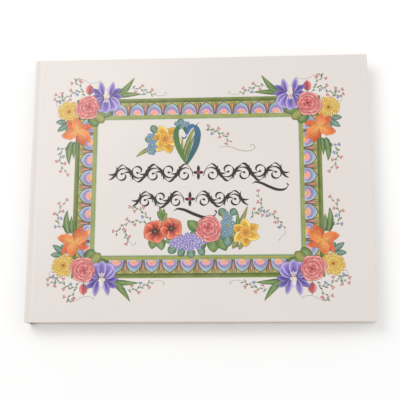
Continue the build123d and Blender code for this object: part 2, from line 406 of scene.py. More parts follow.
def poppy(ink):
    """A poppy of radius 8.5: overlapping petals round a dark seed head."""
    for heading, length in ((20, 8.6), (92, 8.4), (164, 8.8), (236, 8.5), (308, 8.7)):
        ink.petal((0, 0), heading, length, 12, BROAD, SCARLET, frill=0.06, line=0.2)
    blotch = (SEEDS[0], SCARLET[3], SCARLET[3], SEEDS[0])
    for k in range(7):
        ink.petal((0, 0), 51 * k, 5.2, 1.6, OVAL, blotch, steps=6, ribs=2)
    for k in range(16):
        ink.petal((0, 0), 22.5 * k, 3.0, 0.5, SPOON, (BLACK_INK[0],) * 4, steps=4, ribs=2)
    ink.disc(0, 0, 1.5, GREEN[1], BLACK_INK[0])


def floret(ink, x, y, radius, colours, eye, turn=0):
    """A small flower of five round petals with a bright eye."""
    ink.disc(x, y, radius * 0.88, colours[0], colours[0] * OUTLINE_SHADE)
    for k in range(5):
        ink.petal((x, y), turn + 72 * k, radius, radius * 1.05, SPOON, colours, steps=5, ribs=2)
    ink.disc(x, y, radius * 0.2, eye, eye, sides=7)


def florets(ink, spots, radius, colours, eye, seed):
    """A bunch of small flowers, one at each spot. Neighbours lie at different levels."""
    bunch = random.Random(seed)
    floor = ink.height
    for k, (x, y) in enumerate(spots):
        ink.height = floor + 7 * LAYER * (k * 3 % 7)
        floret(ink, x, y, radius * bunch.uniform(0.85, 1.12), colours, eye, turn=bunch.uniform(0, 72))


def scatter(count, width, height):
    """Evenly scattered spots in an oval, from its middle outwards."""
    golden = 137.5
    spots = []
    for k in range(count):
        spot = toward(golden * k, math.sqrt((k + 0.5) / count))
        spots.append((spot.x * width / 2, spot.y * height / 2))
    return spots


def sprig(ink, points, leaves, hearts, curl=None, seed=1):
    """A thin twig with small leaves on both sides and hearts on short stalks, as (place, side, colours)."""
    ink.height = SPRIG_LEVEL
    draw = random.Random(seed)
    path = [Vector(p) for p in points]
    ink.stroke(path, 0.34, TWIG, taper=0.2)
    if curl:
        ink.stroke([path[-1]] + [Vector(p) for p in curl], 0.26, TWIG, taper=0.3)
        ink.disc(*curl[-1], 0.42, TWIG[0], TWIG[1], sides=8)
    for k in range(leaves):
        t = (k + 0.7) / (leaves + 0.3)
        ahead = heading_at(path, t)
        side = 1 if k % 2 else -1
        heading = math.degrees(math.atan2(ahead.y, ahead.x)) + side * draw.uniform(28, 52)
        colours = (TWIG, GREEN_BLUE, OLIVE)[k % 3]
        ink.petal(curve_at(path, t), heading, draw.uniform(2.6, 3.6), 1.1, POINTED, colours,
                  bend=-side * 18, steps=5, ribs=2)
    for t, side, colours in hearts:
        here = curve_at(path, t)
        ahead = heading_at(path, t)
        heading = math.degrees(math.atan2(ahead.y, ahead.x)) + side * 62
        stalk = [here, here + toward(heading, 1.4), here + toward(heading, 2.4)]
        ink.stroke(stalk, 0.26, TWIG, detail=2, taper=0.1)
        spot = here + toward(heading, 3.6)
        ink.heart(spot.x, spot.y, 3.2, heading + 180, colours)


# ---------------------------------------------------------------- the frame of arches

STRIPE = 4.0
ARCH_BAND = 11.2
RULE = 4.2
OUTER = Vector((104.0, 77.4))
ARCHES_ON_TOP = 12
ARCHES_ON_SIDE = 8
BAND_LEVEL, PENDANT_LEVEL, ARCH_LEVEL = 0.004, 0.012, 0.02
SPRIG_LEVEL, LEAF_LEVEL, FLOWER_LEVEL, ROSE_LEVEL = 0.012, 0.08, 0.105, 0.16


def lay_bands(ink):
    """The green stripe, the ground under the arches and the double rule round the panel."""
    rings = (
        (0, 2.3, tone("7f8f3c"), tone("6f8034")),
        (2.3, STRIPE, tone("55652a"), tone("64742f")),
        (STRIPE, STRIPE + ARCH_BAND, tone("c2b968"), tone("b0ad58")),
        (STRIPE + ARCH_BAND, STRIPE + ARCH_BAND + 2.4, tone("9a9f48"), tone("aeac5a")),
        (STRIPE + ARCH_BAND + 2.4, STRIPE + ARCH_BAND + RULE - 0.7, tone("7f9663"), tone("93a982")),
        (STRIPE + ARCH_BAND + RULE - 0.7, STRIPE + ARCH_BAND + RULE, tone("c4cfb4"), tone("dfe4d8")),
    )
    for out, inn, outer_tone, inner_tone in rings:
        far, near = OUTER - Vector((out, out)), OUTER - Vector((inn, inn))
        for side in (-1, 1):
            ink.start(*ART_CENTRE, BAND_LEVEL, side_y=side)
            ink.strip((-far.x, near.y), (far.x, far.y), inner_tone, outer_tone, across=1, pieces=(60, 2))
            ink.start(*ART_CENTRE, BAND_LEVEL, side_x=side)
            ink.strip((near.x, -near.y), (far.x, near.y), inner_tone, outer_tone, across=0, pieces=(2, 44))


ARCH_LINE = (tone("5c4240"),) * 4
ARCH_FILL = tones("a9b8dc 9db6c4 aec4c0 aab9e0")
FEATHERS = (
    (7, 7.3, 2.9, tones("9c96cc a9a6d6 8682bc c4b2d8")),
    (6, 6.0, 2.7, tones("d29ab4 cfa6ca a482b4 e6b4c0")),
    (5, 4.9, 2.4, tones("e8848a ee989c f4c2c0 dc7880")),
    (4, 3.4, 2.0, tones("ee9258 ee8a76 f4b09a e48848")),
    (3, 2.1, 1.5, tones("f0b648 f2bc52 f6d27c eda448")),
)
MAUVE = tones("9a6a72 ad7c80 8a5a62 d8a08c")
DROP = outline(0.08, 0.75)


def arch(ink, pitch):
    """One pointed arch, 11 high on a base along X: dark outline, pale fill and a fan of feathers."""
    ink.petal((0, 0), 90, ARCH_BAND - 0.1, pitch - 1.6, dome, ARCH_LINE, steps=14)
    ink.petal((0, 0), 90, ARCH_BAND - 0.8, pitch - 2.7, dome, ARCH_FILL, steps=14)
    for count, length, width, colours in FEATHERS:
        for k in range(count):
            lean = 130 * ((k + 0.5) / count - 0.5)
            reach = length * (1 - 0.3 * (lean / 90) ** 2)
            ink.petal((0, 0.1), 90 + lean, reach, width, SPOON, colours, steps=5, ribs=2)


def pendant(ink):
    """The mauve drop that hangs between two arches, with a gold eye."""
    ink.petal((0, ARCH_BAND), 270, ARCH_BAND, 6.0, DROP, ARCH_LINE, steps=8)
    ink.petal((0, ARCH_BAND), 270, ARCH_BAND - 1.2, 4.9, DROP, (tone("a8a04e"),) * 4, steps=8)
    ink.petal((0, ARCH_BAND - 0.4), 270, ARCH_BAND - 1.6, 2.9, POINTED, MAUVE, steps=8, line=0.25)
    ink.petal((0, ARCH_BAND - 1.4), 270, 5.0, 1.2, POINTED, (tone("dfa468"),) * 4, steps=6, ribs=2)


def lay_arches(ink):
    """Arches along all four sides, their tips outwards, with a pendant between each pair."""
    inner = OUTER - Vector((1, 1)) * (STRIPE + ARCH_BAND)
    for half, reach, count, turns in ((inner.x, inner.y, ARCHES_ON_TOP, (0, 180)),
                                      (inner.y, inner.x, ARCHES_ON_SIDE, (90, 270))):
        pitch = 2 * half / count
        for turn in turns:
            spin = Matrix.Rotation(math.radians(turn), 2)
            for k in range(count + 1):
                place = spin @ Vector((pitch * k - half, reach)) + ART_CENTRE
                ink.start(*place, PENDANT_LEVEL, turn=turn)
                pendant(ink)
            for k in range(count):
                place = spin @ Vector((pitch * (k + 0.5) - half, reach)) + ART_CENTRE
                ink.start(*place, ARCH_LEVEL, turn=turn)
                arch(ink, pitch)


# ---------------------------------------------------------------- the bouquets

def spread_leaves(ink, leaves):
    """Leaves, each given as root, heading, length, width, bend, colours and outline."""
    for root, heading, length, width, bend, colours, shape in leaves:
        ink.petal(root, heading, length, width, shape, colours, bend=bend, steps=16, line=0.2)


def lay_corner(inks, side_x, side_y):
    """The bouquet on one corner. Places are outwards from the middle of the frame."""

    def at(kind, x, y, level, turn=0, size=1):
        inks[kind].start(ART_CENTRE.x + side_x * x, ART_CENTRE.y + side_y * y, level,
                         side_x=side_x, side_y=side_y, turn=turn, size=size)
        return inks[kind]

    spread_leaves(at("leaves", 0, 0, LEAF_LEVEL), (
        ((70, 79), 142, 23.5, 4.8, -22, GREEN, BLADE), ((73, 80.0), 172, 25.5, 4.4, 10, GREEN, BLADE),
        ((72, 79.5), 158, 15, 3.4, -10, GREEN, BLADE), ((84, 74), 222, 14, 10, 18, GREEN, LOBE),
        ((88, 70), 202, 15, 11, 12, GREEN, LOBE), ((92, 66), 250, 14, 10, -14, GREEN, LOBE),
        ((90, 66), 226, 13.5, 8, -8, OLIVE, LOBE), ((108, 60), 330, 11, 4.8, -28, GREEN_BLUE, POINTED),
        ((106, 57), 302, 10.5, 4.8, 24, GREEN_BLUE, POINTED),
        ((112, 58), 352, 9.5, 4.2, 12, GREEN_BLUE, POINTED),
        ((110, 57), 318, 12.5, 4.6, 10, GREEN_BLUE, POINTED),
        ((107, 40), 292, 20.5, 5.4, -34, GREEN, BLADE), ((104, 40), 284, 15, 3.6, -20, GREEN, BLADE),
    ))

    twigs = at("sprigs", 0, 0, SPRIG_LEVEL)
    sprig(twigs, [(58, 87), (50, 86.5), (43, 83.5), (37, 80.5)], 9,
          ((0.12, 1, PINK), (0.34, -1, PINK), (0.5, 1, BLUE), (0.72, -1, PINK)),
          curl=[(33, 79.6), (29, 80.0), (26.4, 81.4), (27.6, 82.6)], seed=2)
    sprig(twigs, [(96, 80), (101, 85), (107, 84), (113, 80), (120, 81)], 11,
          ((0.3, -1, BLUE), (0.5, 1, PINK), (0.66, -1, PINK), (0.86, 1, PINK), (0.98, 0.2, PINK)), seed=3)
    sprig(twigs, [(98, 84), (102, 90), (106, 94), (104, 97)], 6,
          ((0.35, 1, PINK), (0.6, -1, PINK), (0.85, 1, PINK)),
          curl=[(99, 95.5), (93, 92.5), (87, 92.8), (84.8, 94)], seed=4)
    sprig(twigs, [(113, 76), (117, 78), (121, 76)], 4, ((0.4, -1, BLUE), (0.9, 1, PINK)),
          curl=[(122.2, 74), (120.6, 71.6)], seed=5)
    sprig(twigs, [(110, 36), (115, 33), (117, 28), (116, 21), (112, 13)], 9,
          ((0.25, 1, BLUE), (0.45, -1, BLUE), (0.62, 1, PINK), (0.74, -1, PINK), (0.88, 1, PINK),
           (0.99, -0.3, PINK)), seed=6)

    chrysanthemum(at("chrysanthemums", 110.6, 66.6, FLOWER_LEVEL))
    lily(at("lilies", 102.6, 49.4 if side_y > 0 else 47.4, ROSE_LEVEL, turn=8))
    iris(at("irises", 78.2, 79.4 if side_y > 0 else 77.8, FLOWER_LEVEL, size=0.9))
    rosebud(at("roses", 93.2, 82.0, FLOWER_LEVEL), at("leaves", 93.2, 82.0, FLOWER_LEVEL))
    rose(at("roses", 94.6, 70.0, ROSE_LEVEL, turn=12, size=0.97))


# ---------------------------------------------------------------- the panel

def lay_spray(inks):
    """The bouquet along the foot of the panel."""

    def at(kind, x, y, level, turn=0, size=1):
        inks[kind].start(x, y, level, turn=turn, size=size)
        return inks[kind]

    leaves = at("leaves", 0, 0, SPRIG_LEVEL)
    for root, heading, length, width, bend, colours in (
        ((-36, -44), 244, 10, 8, 20, GREEN), ((-33, -44), 290, 11, 8, -15, GREEN),
        ((-26, -42), 312, 10, 7, 20, GREEN), ((-30, -30), 78, 10.5, 3.0, 16, GREEN),
        ((-30, -31), 98, 14, 3.0, 10, GREEN), ((-30, -30), 126, 9.5, 3.0, -14, GREEN),
        ((-30, -31), 60, 8, 2.6, 14, OLIVE), ((1, -38), 152, 13, 9, -20, GREEN),
        ((2, -42), 176, 11, 7, 16, GREEN), ((13, -44), 258, 13, 11, 20, GREEN),
        ((16, -42), 300, 15, 11, -12, GREEN), ((17, -41), 330, 10, 8, 12, GREEN_BLUE),
        ((4, -45), 246, 12, 8, 16, GREEN), ((-18, -51), 215, 9, 7, 16, GREEN_BLUE),
        ((-6, -53), 262, 8, 7, 12, GREEN_BLUE), ((-12, -53), 240, 8, 6, -12, GREEN_BLUE),
        ((0, -51), 290, 9, 6, 16, GREEN_BLUE), ((-21, -46), 190, 7, 5, 10, GREEN),
        ((22, -27), 122, 8, 7, 14, GREEN_BLUE), ((22, -34), 215, 9, 7, -10, GREEN_BLUE),
        ((24, -42), 266, 10, 8, 14, GREEN_BLUE), ((26, -26), 52, 7, 6, -14, GREEN_BLUE),
        ((32, -53), 104, 35, 4.0, 26, OLIVE), ((31, -38), 56, 22, 3.8, 18, OLIVE),
        ((33, -44), 248, 11, 3.8, -14, OLIVE), ((31, -40), 78, 18, 3.2, 20, GREEN),
        ((38, -47), 232, 9, 3.0, 12, OLIVE),
    ):
        shape = BLADE if length > 15 else TIPPED if colours is GREEN else LOBE
        leaves.petal(root, heading, length, width, shape, colours, bend=bend, steps=16, line=0.2)

    twigs = at("sprigs", 0, 0, SPRIG_LEVEL)
    sprig(twigs, [(-39, -31), (-44, -25), (-50, -20), (-55, -18)], 8,
          ((0.3, 1, BLUE), (0.5, -1, PINK), (0.72, 1, PINK), (0.95, 0.2, PINK)), seed=11)
    sprig(twigs, [(-42, -33), (-50, -30), (-58, -31), (-65, -35), (-69, -41)], 10,
          ((0.3, 1, PINK), (0.48, -1, PINK), (0.66, 1, PINK), (0.9, -1, PINK)), seed=12)
    sprig(twigs, [(-60, -36), (-61, -42), (-58, -47)], 5, ((0.5, 1, PINK), (0.9, -1, PINK)),
          curl=[(-55, -50), (-53, -50), (-52.5, -48.5)], seed=13)
    sprig(twigs, [(42, -30), (45, -25), (50, -22), (52, -16), (49, -8)], 8,
          ((0.3, 1, PINK), (0.5, -1, BLUE), (0.72, 1, PINK), (0.97, -0.3, PINK)), seed=14)
    sprig(twigs, [(46, -25), (54, -23), (61, -26), (66, -31), (70, -37)], 12,
          ((0.12, -1, PINK), (0.3, -1, BLUE), (0.45, 1, PINK), (0.65, -1, PINK), (0.85, -1, BLUE)),
          curl=[(71, -41), (68, -44.5), (66, -47)], seed=15)

    poppy(at("poppies", -36.2, -39.0, LEAF_LEVEL, turn=10, size=1.05))
    poppy(at("poppies", -22.8, -36.6, ROSE_LEVEL, turn=55, size=0.98))
    florets(at("violets", -9.0, -47.6, LEAF_LEVEL), scatter(26, width=27, height=12),
            radius=2.9, colours=VIOLET, eye=tone("f3e9b4"), seed=8)
    florets(at("violets", 23.0, -34.0, LEAF_LEVEL), scatter(22, width=10, height=21),
            radius=2.1, colours=SKY, eye=tone("f1e6a8"), seed=9)
    rose(at("roses", 8.4, -37.4, ROSE_LEVEL, turn=-24, size=1.0))
    daffodil(at("daffodils", 38.6, -40.6, FLOWER_LEVEL, turn=20))


# ---------------------------------------------------------------- the title ornament

RIBBON_GREEN = tones("2f6444 5c8636")
RIBBON_BLUE = tones("3f72a8 2f6456")


def lay_heart(ribbon, x, y):
    """A ribbon heart 34 high: a green half and a blue half, thick at the sides and thin at the lobes."""
    lobe = [(0, 8.5), (2.6, 14.6), (6.8, 15.4), (9.2, 9.4), (7.8, -0.6), (3.8, -10.2), (-0.2, -18.0)]
    ribbon.start(x, y, ROSE_LEVEL, side_x=-1)
    ribbon.stroke(lobe, 5.0, RIBBON_GREEN, thin=0.3, pen=156, taper=0.45, detail=9, ribs=3)
    ribbon.start(x, y, ROSE_LEVEL + 3 * LAYER)
    ribbon.stroke(lobe, 5.6, RIBBON_BLUE, thin=0.3, pen=156, taper=0.45, detail=9, ribs=3)
    ribbon.stroke([(0, 8.5), (-1.2, 5.4), (-3.6, 5.0), (-4.0, 6.8)], 1.2, RIBBON_BLUE, taper=0.5)


def rinceau(pen, half, swing, waves):
    """A running scroll: a wavy stem with a coil curling into each hollow and leaves at each crossing."""
    start = 4.5
    length = half - start
    count = 4 * waves + 1
    stem = [(start + length * k / (count - 1), swing * 0.86 * math.sin(math.pi * waves * k / (count - 1)))
            for k in range(count)]
    pen.stroke(stem, 2.2, BLACK_INK, thin=0.18, pen=35, taper=0.35)
    step = length / waves
    for k in range(waves):
        side = 1 if k % 2 == 0 else -1
        middle = Vector((start + step * (k + 0.52), -side * swing * 0.22))
        coil = [middle + toward(190 - 48 * i, swing * (0.84 - 0.066 * i)) * Vector((1, side))
                for i in range(11)]
        pen.stroke(coil, 1.8, BLACK_INK, thin=0.2, pen=40 * side, taper=0.35, detail=4)
        pen.disc(coil[-1].x, coil[-1].y, 1.0, BLACK_INK[0], BLACK_INK[1])
        root = Vector((start + step * (k + 0.94), 0))
        for lean, long, wide in ((72, 8.8, 2.0), (34, 6.8, 1.7)):
            pen.petal(root, -side * lean, long, wide, BLADE, BLACK_INK, bend=side * 60, steps=9, ribs=2)
        pen.petal(root, 180 - side * 62, 6.6, 1.5, BLADE, BLACK_INK, bend=-side * 48, steps=9, ribs=2)


def lay_scrolls(pen):
    """Two tiers of pen scrolls, mirrored about their middles, with a swash under each."""
    for x, y, half, swing, waves in ((-0.5, 11.0, 70.5, 8.6, 5), (-7.5, -11.8, 43.5, 7.8, 3)):
        for side in (-1, 1):
            pen.start(x, y, SPRIG_LEVEL, side_x=side)
            rinceau(pen, half, swing, waves)
        pen.start(x, y, LEAF_LEVEL)
        for heading in (0, 90, 180, 270):
            length = 6.4 if heading % 180 else 4.4
            pen.petal((0, 0), heading, length, 2.7, POINTED, BLACK_INK, steps=8, ribs=2)
        pen.heart(0, 0, 3.6, 270, (CORAL_DEEP[0], CORAL_DEEP[1]))
    pen.start(-1.0, -24.6, SPRIG_LEVEL)
    swash = [(-20, 2.6), (-17, 4.6), (-11, 3.6), (-3, 0.0), (5, -2.8), (12, -2.6), (15.6, 1.0), (14.0, 3.2)]
    pen.stroke(swash, 2.7, BLACK_INK, thin=0.3, pen=60, taper=0.5)
    pen.start(61.0, -2.0, SPRIG_LEVEL)
    pen.stroke([(p[0] * 0.84, p[1] * 0.9) for p in swash], 2.4, BLACK_INK, thin=0.3, pen=60, taper=0.5)


def lay_title(inks):
    """The ornament at the head of the panel: a ribbon heart with a daffodil, sprigs and a thin scroll."""
    inks["leaves"].start(0, 0, SPRIG_LEVEL)
    spread_leaves(inks["leaves"], (
        ((-37, 34), 196, 19, 3.8, 26, OLIVE, BLADE), ((-13, 22), 84, 36, 3.4, -30, OLIVE, BLADE),
        ((-12, 21), 74, 26, 2.6, -8, GREEN, BLADE), ((-14, 24), 100, 18, 2.4, -24, OLIVE, BLADE),
        ((-36, 46), 124, 8, 6, 0, GREEN_BLUE, LOBE), ((-38, 40), 172, 8, 6, 0, GREEN_BLUE, LOBE),
        ((-36, 34), 222, 9, 6, 0, GREEN_BLUE, LOBE), ((-18, 52), 60, 7, 6, -20, GREEN_BLUE, LOBE),
    ))
    inks["daffodils"].start(-28.4, 40.6, FLOWER_LEVEL, turn=38, size=1.1)
    daffodil(inks["daffodils"])
    inks["violets"].start(-14.5, 53.0, LEAF_LEVEL)
    florets(inks["violets"], scatter(11, width=11, height=6),
            radius=2.0, colours=SKY, eye=tone("f1e6a8"), seed=22)
    inks["violets"].start(-40.0, 36.0, LEAF_LEVEL)
    florets(inks["violets"], scatter(15, width=7, height=20),
            radius=2.0, colours=SKY, eye=tone("f1e6a8"), seed=24)
    lay_heart(inks["scrolls"], -10.4, 36.2)
    twigs = inks["sprigs"]
    twigs.start(0, 0, SPRIG_LEVEL)
    sprig(twigs, [(5, 48), (9, 48.5), (15, 46.5), (21, 43), (26, 37)], 12,
          ((0.12, 1, PINK), (0.3, -1, BLUE), (0.45, 1, PINK), (0.6, -1, PINK), (0.75, 1, PINK),
           (0.92, -1, PINK)), seed=31)
    tendril = [(17, 33), (26, 33.0), (34, 30), (41, 29.0), (46.4, 30.6), (46.2, 34.0), (43.4, 34.4),
               (43.4, 32.0)]
    twigs.stroke(tendril, 0.42, TWIG, thin=0.5)


# ---------------------------------------------------------------- materials

def socket_pair(group, inputs, outputs):
    """Gives a node group its named inputs and outputs."""
    for name, kind, value in inputs:
        socket = group.interface.new_socket(name, in_out="INPUT", socket_type=kind)
        socket.default_value = value
    for name, kind in outputs:
        group.interface.new_socket(name, in_out="OUTPUT", socket_type=kind)
    return group.nodes.new("NodeGroupInput"), group.nodes.new("NodeGroupOutput")


def noise(group, vector, scale, detail=4, roughness=0.6):
    """A noise texture node reading a vector socket."""
    node = group.nodes.new("ShaderNodeTexNoise")
    node.inputs["Scale"].default_value = scale
    node.inputs["Detail"].default_value = detail
    node.inputs["Roughness"].default_value = roughness
    group.links.new(vector, node.inputs["Vector"])
    return node.outputs["Fac"]


def maths(group, operation, first, second=0, third=0, clamp=False):
    """A maths node; each value is a socket or a number. Operations on one value ignore the others."""
    node = group.nodes.new("ShaderNodeMath")
    node.operation = operation
    node.use_clamp = clamp
    for socket, value in zip(node.inputs, (first, second, third)):
        if isinstance(value, (int, float)):
            socket.default_value = value
        else:
            group.links.new(value, socket)
    return node.outputs["Value"]


def mix(group, share, first, second, blend="MIX"):
    """A colour mix; colours are sockets or linear colours."""
    node = group.nodes.new("ShaderNodeMix")
    node.data_type = "RGBA"
    node.blend_type = blend
    colour_sockets = (node.inputs[0], node.inputs[6], node.inputs[7])
    for socket, value in zip(colour_sockets, (share, first, second)):
        if isinstance(value, bpy.types.NodeSocket):
            group.links.new(value, socket)
        elif isinstance(value, (int, float)):
            socket.default_value = value
        else:
            socket.default_value = (*value, 1)
    return node.outputs[2]


def split(tree, vector):
    """The X, Y and Z sockets of a vector socket."""
    parts = tree.nodes.new("ShaderNodeSeparateXYZ")
    tree.links.new(vector, parts.inputs["Vector"])
    return parts.outputs


def object_place(tree):
    """The socket that gives a point's place on the piece."""
    return tree.nodes.new("ShaderNodeTexCoord").outputs["Object"]


def paper_group():
    """Paper: fibres, faint clouds of tone, and a small grain height."""
    group = bpy.data.node_groups.new("paper fibres", "ShaderNodeTree")
    inside, outside = socket_pair(
        group,
        (("Vector", "NodeSocketVector", (0, 0, 0)), ("Colour", "NodeSocketColor", (0.8, 0.8, 0.8, 1)),
         ("Shade", "NodeSocketColor", (0.7, 0.7, 0.7, 1)), ("Amount", "NodeSocketFloat", 0.5)),
        (("Colour", "NodeSocketColor"), ("Height", "NodeSocketFloat")),
    )
    place = inside.outputs["Vector"]
    clouds = noise(group, place, scale=16, detail=3)
    fibres = noise(group, place, scale=900, detail=6, roughness=0.7)
    spread = maths(group, "MULTIPLY_ADD", fibres, 0.5, -0.05)
    share = maths(group, "MULTIPLY", maths(group, "ADD", maths(group, "MULTIPLY", clouds, 0.6), spread),
                  inside.outputs["Amount"], clamp=True)
    colour = mix(group, share, inside.outputs["Colour"], inside.outputs["Shade"])
    group.links.new(colour, outside.inputs["Colour"])
    group.links.new(fibres, outside.inputs["Height"])
    return group


def pigment_group():
    """Watercolour pigment: granules, brush streaks and slow washes over a printed colour."""
    group = bpy.data.node_groups.new("watercolour pigment", "ShaderNodeTree")
    inside, outside = socket_pair(
        group,
        (("Vector", "NodeSocketVector", (0, 0, 0)), ("Colour", "NodeSocketColor", (0.5, 0.5, 0.5, 1)),
         ("Amount", "NodeSocketFloat", 0.5)),
        (("Colour", "NodeSocketColor"), ("Height", "NodeSocketFloat")),
    )
    place = inside.outputs["Vector"]
    granules = noise(group, place, scale=1500, detail=3)
    streaks = noise(group, place, scale=420, detail=5, roughness=0.75)
    wash = noise(group, place, scale=90, detail=3)
    total = maths(group, "ADD", maths(group, "MULTIPLY", granules, 0.35),
                  maths(group, "MULTIPLY", streaks, 0.6))
    total = maths(group, "ADD", total, maths(group, "MULTIPLY", wash, 0.5))
    centred = maths(group, "SUBTRACT", total, 0.72)
    swing = maths(group, "MULTIPLY", centred, inside.outputs["Amount"])
    darker = maths(group, "MULTIPLY", swing, 1.6, clamp=True)
    lighter = maths(group, "MULTIPLY", swing, -0.6, clamp=True)
    deep = mix(group, 1.0, inside.outputs["Colour"], inside.outputs["Colour"], "MULTIPLY")
    shaded = mix(group, darker, inside.outputs["Colour"], deep)
    washed = mix(group, lighter, shaded, tone("f4efe8"))
    group.links.new(washed, outside.inputs["Colour"])
    group.links.new(granules, outside.inputs["Height"])
    return group


def weave_group():
    """A plain weave: over-and-under threads in two directions."""
    group = bpy.data.node_groups.new("plain weave", "ShaderNodeTree")
    inside, outside = socket_pair(
        group,
        (("Vector", "NodeSocketVector", (0, 0, 0)), ("Threads", "NodeSocketFloat", 1000.0)),
        (("Mask", "NodeSocketFloat"), ("Height", "NodeSocketFloat")),
    )
    waves = []
    for along in split(group, inside.outputs["Vector"]):
        turned = maths(group, "MULTIPLY", along, inside.outputs["Threads"])
        waves.append(maths(group, "ABSOLUTE", maths(group, "SINE", turned)))
    across = maths(group, "MAXIMUM", waves[0], waves[2])
    height = maths(group, "MAXIMUM", across, waves[1])
    mask = maths(group, "MULTIPLY", across, waves[1])
    group.links.new(mask, outside.inputs["Mask"])
    group.links.new(height, outside.inputs["Height"])
    return group


PAPER, PIGMENT, WEAVE = paper_group(), pigment_group(), weave_group()
GRAIN = 0.05 * MM        # how high paper fibres, pigment and thread twist stand


def new_material(name, roughness, specular=0.5, sheen=0.0):
    """A material with its Principled shader; gives the material, its tree and the shader."""
    material = bpy.data.materials.new(name)
    material.use_nodes = True
    tree = material.node_tree
    shader = tree.nodes["Principled BSDF"]
    shader.inputs["Roughness"].default_value = roughness
    shader.inputs["Specular IOR Level"].default_value = specular
    shader.inputs["Sheen Weight"].default_value = sheen
    return material, tree, shader


def use_group(tree, group, **values):
    """Places a shared group in a material. A value is a socket, a number or a colour."""
    node = tree.nodes.new("ShaderNodeGroup")
    node.node_tree = group
    for name, value in values.items():
        if isinstance(value, bpy.types.NodeSocket):
            tree.links.new(value, node.inputs[name])
        elif isinstance(value, (int, float)):
            node.inputs[name].default_value = value
        else:
            node.inputs[name].default_value = (*value, 1)
    return node


def bump(tree, shader, height, strength, distance):
    """Feeds a height to the shader's normal."""
    node = tree.nodes.new("ShaderNodeBump")
    node.inputs["Strength"].default_value = strength
    node.inputs["Distance"].default_value = distance
    tree.links.new(height, node.inputs["Height"])
    tree.links.new(node.outputs["Normal"], shader.inputs["Normal"])


def film_material(name):
    """A material under the clear film of the printed cover."""
    material, tree, shader = new_material(name, roughness=0.42, specular=0.35)
    shader.inputs["Coat Weight"].default_value = 0.35
    shader.inputs["Coat Roughness"].default_value = 0.16
    return material, tree, shader


def cover_material():
    """White laminated cover paper, faintly clouded, with the film's slight ripple."""
    material, tree, shader = film_material("laminated white paper")
    place = object_place(tree)
    paper = use_group(tree, PAPER, Vector=place, Colour=tone("e3dbd5"), Shade=tone("cfc8c5"), Amount=0.55)
    tree.links.new(paper.outputs["Colour"], shader.inputs["Base Color"])
    ripple = noise(tree, place, scale=60, detail=2)
    bump(tree, shader, ripple, strength=0.12, distance=0.4 * MM)
    return material


def ink_material(name, pigment_amount):
    """Printed ink: each shape's own colour, broken up by an amount of pigment."""
    material, tree, shader = film_material(name)
    paint = tree.nodes.new("ShaderNodeAttribute")
    paint.attribute_name = "paint"
    pigment = use_group(tree, PIGMENT, Vector=object_place(tree), Colour=paint.outputs["Color"],
                        Amount=pigment_amount)
    tree.links.new(pigment.outputs["Colour"], shader.inputs["Base Color"])
    bump(tree, shader, pigment.outputs["Height"], strength=0.05, distance=GRAIN)
    return material


def plain_paper_material(name, colour, shade, amount, grain):
    """Uncoated paper: soft, fibrous and a little uneven in tone."""
    material, tree, shader = new_material(name, roughness=0.85, specular=0.25)
    paper = use_group(tree, PAPER, Vector=object_place(tree), Colour=colour, Shade=shade, Amount=amount)
    tree.links.new(paper.outputs["Colour"], shader.inputs["Base Color"])
    bump(tree, shader, paper.outputs["Height"], strength=grain, distance=GRAIN)
    return material


RULED_SHIFT = 4 * MM     # the ruled block lies this far towards the fore edge of the leaf's middle
ROW_PITCH = 5.5 * MM
ROW_LINE = 0.16 * MM     # half the thickness of a ruled line
RULED_HALF = (108 * MM, 78 * MM)
BORDER_HALF = (119 * MM, 95 * MM)
BORDER_LINE = 0.4 * MM   # half the thickness of the border


def page_material():
    """Writing paper with ruled lines and a thin border on its two faces."""
    material, tree, shader = new_material("ruled writing paper", roughness=0.85, specular=0.25)

    def both(first, second):
        return maths(tree, "MULTIPLY", first, second)

    def within(distance, limit):
        return maths(tree, "LESS_THAN", distance, limit)

    coordinates = tree.nodes.new("ShaderNodeTexCoord")
    place = coordinates.outputs["Object"]
    paper = use_group(tree, PAPER, Vector=place, Colour=tone("f5efe4"), Shade=tone("e8dccb"), Amount=0.5)
    x, y, _ = split(tree, place)
    upright = maths(tree, "ABSOLUTE", split(tree, coordinates.outputs["Normal"])["Z"])
    flat = maths(tree, "GREATER_THAN", upright, 0.7)
    middle_x = (LEAF_X + PAGE_X) / 2 + RULED_SHIFT
    from_middle = maths(tree, "ABSOLUTE", maths(tree, "SUBTRACT", x, middle_x))
    from_centre = maths(tree, "ABSOLUTE", y)
    rows = maths(tree, "PINGPONG", maths(tree, "ADD", y, 1.0), ROW_PITCH)
    ruled = both(both(within(rows, ROW_LINE), within(from_middle, RULED_HALF[0])),
                 within(from_centre, RULED_HALF[1]))
    side = both(maths(tree, "COMPARE", from_middle, BORDER_HALF[0], BORDER_LINE),
                within(from_centre, BORDER_HALF[1] + BORDER_LINE))
    ends = both(maths(tree, "COMPARE", from_centre, BORDER_HALF[1], BORDER_LINE),
                within(from_middle, BORDER_HALF[0] + BORDER_LINE))
    border = both(maths(tree, "MAXIMUM", side, ends), flat)
    lined = mix(tree, both(both(ruled, flat), 0.75), paper.outputs["Colour"], tone("a9a4bd"))
    framed = mix(tree, both(border, 0.9), lined, tone("8a9a4a"))
    tree.links.new(framed, shader.inputs["Base Color"])
    bump(tree, shader, paper.outputs["Height"], strength=0.15, distance=GRAIN)
    return material


